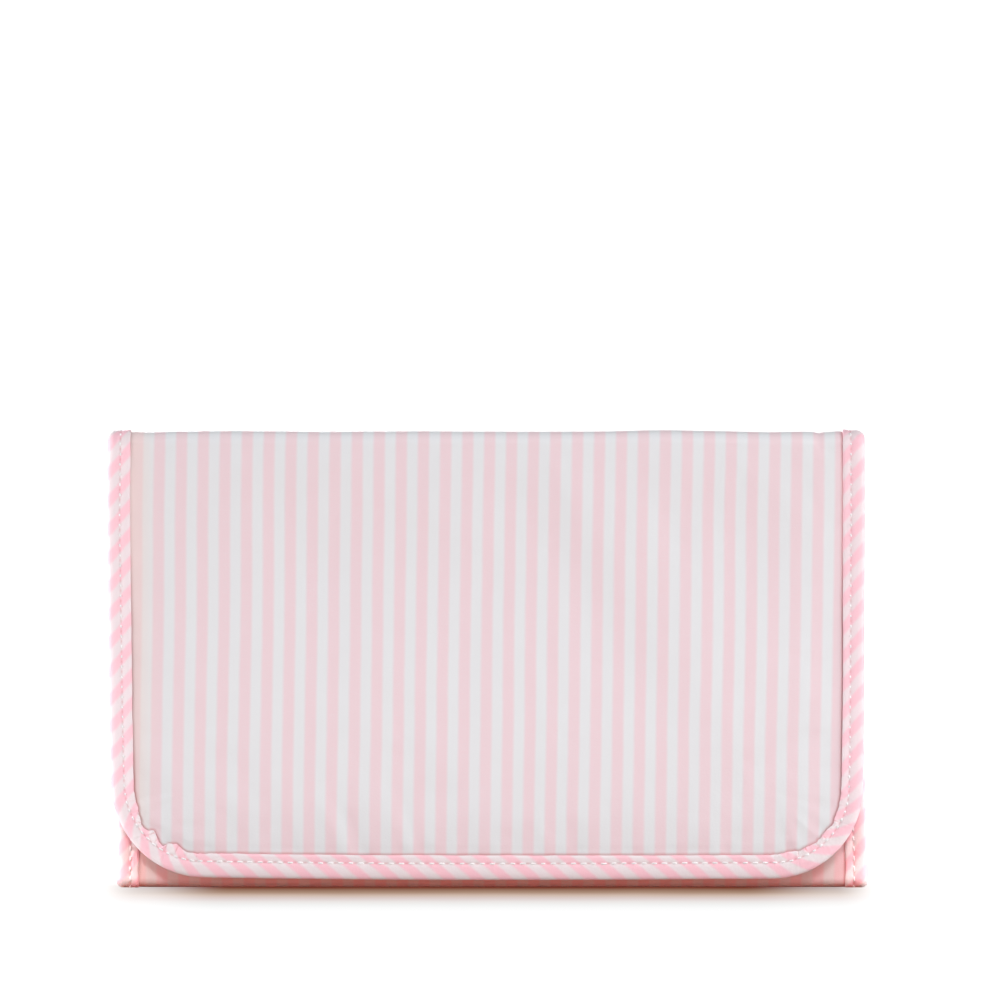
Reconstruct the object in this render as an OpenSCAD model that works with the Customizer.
// Folding changing mat: one long padded mat with bound edges, closed like a letter.
// A short front panel folds up from the bottom fold, and a full-height flap
// folds down over it from the top fold. Millimetres.
// X is the width, Z is up, and the flap faces -Y. The mat stands on its bottom fold.
// Depth runs from a panel's outer (cover) face to its inner (lining) face, and
// length runs along the flap or the front panel, away from its fold.

/* [Mat] */
// Width of the mat from one bound edge to the other
mat_w = 317.5; // [240:0.5:420]
// Height of the folded mat, standing on its bottom fold
folded_h = 193.5; // [150:0.5:260]
// Front panel's length, as a share of the distance between the two fold axes
front_share = 0.496; // [0.35:0.001:0.498]
// Radius of the rounded corners at the free ends of the flap and the front panel
corner_r = 38; // [20:1:44]
// Height of the flap's lower lip above the floor
lip_gap = 4; // [3:0.5:10]

/* [Layers] */
// Thickness of the coated cotton cover, on the outside
cover_t = 0.45; // [0.3:0.05:0.6]
// Thickness of the soft padding between cover and lining
padding_t = 3.4; // [3:0.1:5]
// Thickness of the wipe-clean lining, on the inside
lining_t = 0.35; // [0.2:0.05:0.5]

/* [Binding] */
// Width of the binding tape as it shows on each face
binding_w = 10; // [7:0.5:14]
// Thickness of the doubled binding tape on each face
binding_t = 0.5; // [0.4:0.05:0.7]
// Distance of the stitch row from the outer edge
stitch_in = 6.6; // [3:0.1:6.6]
// Thickness of the sewing thread
thread_d = 0.4; // [0.3:0.05:0.4]

/* [Folds] */
// Gap between the back panel and the front panel
front_gap = 0.6; // [0.4:0.1:1.2]
// Inner radius of the top fold, which wraps over the front panel's edge
top_fold_r = 1.6; // [1.6:0.1:3]
// Outward lean of the closed flap, in degrees
flap_lean = 2; // [2:0.1:3]

/* [Closure] */
// Width of the hook tape and of the loop tape
tape_w = 100; // [40:5:160]
// Height of the hook tape and of the loop tape
tape_h = 20; // [12:1:25]
// Thickness of each tape
tape_t = 0.8; // [0.5:0.05:0.8]
// Height of the tapes' centre above the floor
tape_z = 70; // [48:1:72]

/* [Hidden] */

mat_t = cover_t + padding_t + lining_t;
// clearance left between neighbouring solids
gap = 0.02;
// how far a cutter runs past what it cuts
overrun = 1;
// facets of a full circle
corner_fn = 96;
fold_fn = 64;
tape_fn = 32;

// thickness of the binding round the raw edge
web_t = 0.6;
// insets from the mat's edge: where tucked layers end, and where open layers start
tucked_in = web_t + gap;
open_in = binding_w + gap;
padding_in = binding_w + cover_t + 2 * gap;

// [from, to] depths: each layer is tucked under the binding and open inside it
cover_tucked = [binding_t + gap, binding_t + gap + cover_t];
cover_open = [0, cover_tucked[1]];
lining_tucked = [mat_t - binding_t - gap - lining_t, mat_t - binding_t - gap];
lining_open = [lining_tucked[0], mat_t];
padding_tucked = [cover_tucked[1] + gap, lining_tucked[0] - gap];
padding_open = [cover_t + gap, mat_t - lining_t - gap];
// thread on the outer and the inner face, and the grooves it lies in
thread_spans = [[0, thread_d], [mat_t - thread_d, mat_t]];
groove_spans = [[-overrun, thread_d + gap], [mat_t - thread_d - gap, mat_t + overrun]];

// fold radii
bottom_inner_r = front_gap / 2;
bottom_outer_r = bottom_inner_r + mat_t;
top_outer_r = top_fold_r + mat_t;
// fold axes, as [y, z] with the back panel's inner face at y = 0
bottom_axis = [-bottom_inner_r, bottom_outer_r];
top_axis = [-top_fold_r, folded_h - top_outer_r];
back_h = top_axis[1] - bottom_axis[1];
front_len = front_share * back_h;
flap_len = (top_axis[1] + top_fold_r * sin(flap_lean) - lip_gap) / cos(flap_lean);
// outermost point of the leaning flap, and the shift that centres the mat's depth on y = 0
lip_y = top_axis[0] - top_outer_r * cos(flap_lean) - flap_len * sin(flap_lean);
shift_y = -(mat_t + lip_y) / 2;

// closure tapes: corner radius, inset of the stitch row's outer side, place along each panel
tape_corner_r = 2.5;
tape_stitch_in = 1.5;
hook_along = (top_axis[1] - tape_z) / cos(flap_lean);
loop_along = tape_z - bottom_axis[1];

PINK = [0.94, 0.82, 0.84];
BIND = [0.98, 0.79, 0.83];
FOAM = [0.93, 0.92, 0.88];
LINE = [0.93, 0.93, 0.92];
SEW  = [0.98, 0.97, 0.96];
TAPE = [0.90, 0.90, 0.89];

// ---- slabs of the mat, between two depths ----

// outline of a panel in (x, length), drawn in by inset, with its far end rounded;
// reach carries a cutter back past the fold line
module free_end(length, inset, reach) {
  width = mat_w - 2 * inset;
  radius = corner_r - inset;
  end = length - inset;
  translate([-width / 2, -reach])
    square([width, end - radius + reach]);
  translate([-width / 2 + radius, -reach])
    square([width - 2 * radius, end + reach]);
  for (side = [-1, 1])
    translate([side * (width / 2 - radius), end - radius])
      circle(r = radius, $fn = corner_fn);
}

// solid plate with a free end, in (x, length, depth)
module plate(length, inset, span, reach)
  translate([0, 0, span[0]])
    linear_extrude(height = span[1] - span[0])
      free_end(length, inset, reach);

// flat band across the mat, in (x, depth)
module band(inset, span)
  translate([-mat_w / 2 + inset, span[0]])
    square([mat_w - 2 * inset, span[1] - span[0]]);

// with a length, a plate; without one, the band that is its cross-section
module slab(length, inset, span, reach = 0) {
  if (is_undef(length)) band(inset, span);
  else plate(length, inset, span, reach);
}

// stitch row in each of the depth spans, widened by slack on both sides
module stitch_rows(length, spans, slack = 0, reach = 0) {
  outer_in = stitch_in - thread_d / 2 - slack;
  inner_in = stitch_in + thread_d / 2 + slack;
  for (span = spans) {
    if (is_undef(length)) {
      for (side = [-1, 1])
        translate([side * (mat_w / 2 - stitch_in) - thread_d / 2 - slack, span[0]])
          square([inner_in - outer_in, span[1] - span[0]]);
    } else difference() {
      plate(length, outer_in, span, reach);
      plate(length, inner_in, [span[0] - overrun, span[1] + overrun], reach + overrun);
    }
  }
}

// ---- layers: solids for a length, or 2D cross-sections in (x, depth) without one ----

// steps from the outer face down under the binding
module cover(length) difference() {
  union() {
    slab(length, open_in, cover_open);
    slab(length, tucked_in, cover_tucked);
  }
  slab(length, open_in + cover_t, [cover_t, mat_t], overrun);
}

module padding(length) {
  slab(length, padding_in, padding_open);
  slab(length, tucked_in, padding_tucked);
}

// steps from the inner face down under the binding
module lining(length) difference() {
  union() {
    slab(length, open_in, lining_open);
    slab(length, tucked_in, lining_tucked);
  }
  slab(length, open_in + lining_t, [0, mat_t - lining_t], overrun);
}

module binding(length) difference() {
  slab(length, 0, [0, mat_t]);
  slab(length, binding_w, [-overrun, mat_t + overrun], overrun);
  slab(length, web_t, [binding_t, mat_t - binding_t], overrun);
  stitch_rows(length, groove_spans, gap, overrun);
}

module binding_thread(length) stitch_rows(length, thread_spans);

// ---- placing the panels and folds ----

module centred() translate([0, shift_y, 0]) children();

// a cross-section, run up the back panel
module up_back()
  centred()
    translate([0, mat_t, bottom_axis[1]])
      mirror([0, 1, 0])
        linear_extrude(height = back_h)
          children();

// a cross-section, turned about a fold axis from the start angle
module round_fold(axis, outer_r, start, sweep)
  centred()
    translate([0, axis[0], axis[1]])
      rotate([0, 90, 0])
        rotate([0, 0, start])
          rotate_extrude(angle = sweep, $fn = fold_fn)
            translate([outer_r, 0])
              rotate(90)
                children();

module round_bottom()
  round_fold(bottom_axis, bottom_outer_r, start = -90, sweep = 180) children();

module round_top()
  round_fold(top_axis, top_outer_r, start = 90, sweep = 180 - flap_lean) children();

// solids drawn in (x, length, depth), stood up from the bottom fold
module on_front()
  centred()
    translate([0, bottom_axis[0] - bottom_outer_r, bottom_axis[1]])
      mirror([0, 1, 0])
        rotate([90, 0, 0])
          children();

// solids drawn in (x, length, depth), hung from the top fold
module on_flap()
  centred()
    translate([0, top_axis[0], top_axis[1]])
      rotate([-flap_lean, 0, 0])
        translate([0, -top_outer_r, 0])
          rotate([-90, 0, 0])
            children();

// the hook tape lies on the flap's inner face, the loop tape on the front panel's outer face
module at_hook() on_flap() translate([0, hook_along, mat_t + gap]) children();
module at_loop() on_front() translate([0, loop_along, -gap]) mirror([0, 0, 1]) children();

// ---- closure tapes, in (x, length) about their own centre ----

module tape_area(inset) {
  width = tape_w - 2 * inset;
  height = tape_h - 2 * inset;
  radius = tape_corner_r - inset;
  translate([-width / 2 + radius, -height / 2])
    square([width - 2 * radius, height]);
  translate([-width / 2, -height / 2 + radius])
    square([width, height - 2 * radius]);
  for (i = [-1, 1], j = [-1, 1])
    translate([i * (width / 2 - radius), j * (height / 2 - radius)])
      circle(r = radius, $fn = tape_fn);
}

module tape_stitch_ring(slack = 0) difference() {
  tape_area(tape_stitch_in - slack);
  tape_area(tape_stitch_in + thread_d + slack);
}

// tape lying between heights 0 and tape_t, with a groove for its thread in its free face
module tape() difference() {
  linear_extrude(height = tape_t) tape_area(0);
  translate([0, 0, tape_t - thread_d])
    linear_extrude(height = overrun)
      tape_stitch_ring(gap);
}

module tape_thread()
  translate([0, 0, tape_t - thread_d + gap])
    linear_extrude(height = thread_d - gap)
      tape_stitch_ring();

// ---- nodes ----

module back_cover() color(PINK) up_back() cover();
module back_padding() color(FOAM) up_back() padding();
module back_lining() color(LINE) up_back() lining();
module back_binding() color(BIND) up_back() binding();
module back_binding_thread() color(SEW) up_back() binding_thread();

module top_fold_cover() color(PINK) round_top() cover();
module top_fold_padding() color(FOAM) round_top() padding();
module top_fold_lining() color(LINE) round_top() lining();
module top_fold_binding() color(BIND) round_top() binding();
module top_fold_binding_thread() color(SEW) round_top() binding_thread();

module bottom_fold_cover() color(PINK) round_bottom() cover();
module bottom_fold_padding() color(FOAM) round_bottom() padding();
module bottom_fold_lining() color(LINE) round_bottom() lining();
module bottom_fold_binding() color(BIND) round_bottom() binding();
module bottom_fold_binding_thread() color(SEW) round_bottom() binding_thread();

module flap_cover() color(PINK) on_flap() cover(flap_len);
module flap_padding() color(FOAM) on_flap() padding(flap_len);
module flap_lining() color(LINE) on_flap() lining(flap_len);
module flap_binding() color(BIND) on_flap() binding(flap_len);
module flap_binding_thread() color(SEW) on_flap() binding_thread(flap_len);
module hook_tape() color(TAPE) at_hook() tape();
module hook_tape_thread() color(SEW) at_hook() tape_thread();

module front_cover() color(PINK) on_front() cover(front_len);
module front_padding() color(FOAM) on_front() padding(front_len);
module front_lining() color(LINE) on_front() lining(front_len);
module front_binding() color(BIND) on_front() binding(front_len);
module front_binding_thread() color(SEW) on_front() binding_thread(front_len);
module loop_tape() color(TAPE) at_loop() tape();
module loop_tape_thread() color(SEW) at_loop() tape_thread();

back_cover();
back_padding();
back_lining();
back_binding();
back_binding_thread();
top_fold_cover();
top_fold_padding();
top_fold_lining();
top_fold_binding();
top_fold_binding_thread();
bottom_fold_cover();
bottom_fold_padding();
bottom_fold_lining();
bottom_fold_binding();
bottom_fold_binding_thread();
flap_cover();
flap_padding();
flap_lining();
flap_binding();
flap_binding_thread();
hook_tape();
hook_tape_thread();
front_cover();
front_padding();
front_lining();
front_binding();
front_binding_thread();
loop_tape();
loop_tape_thread();
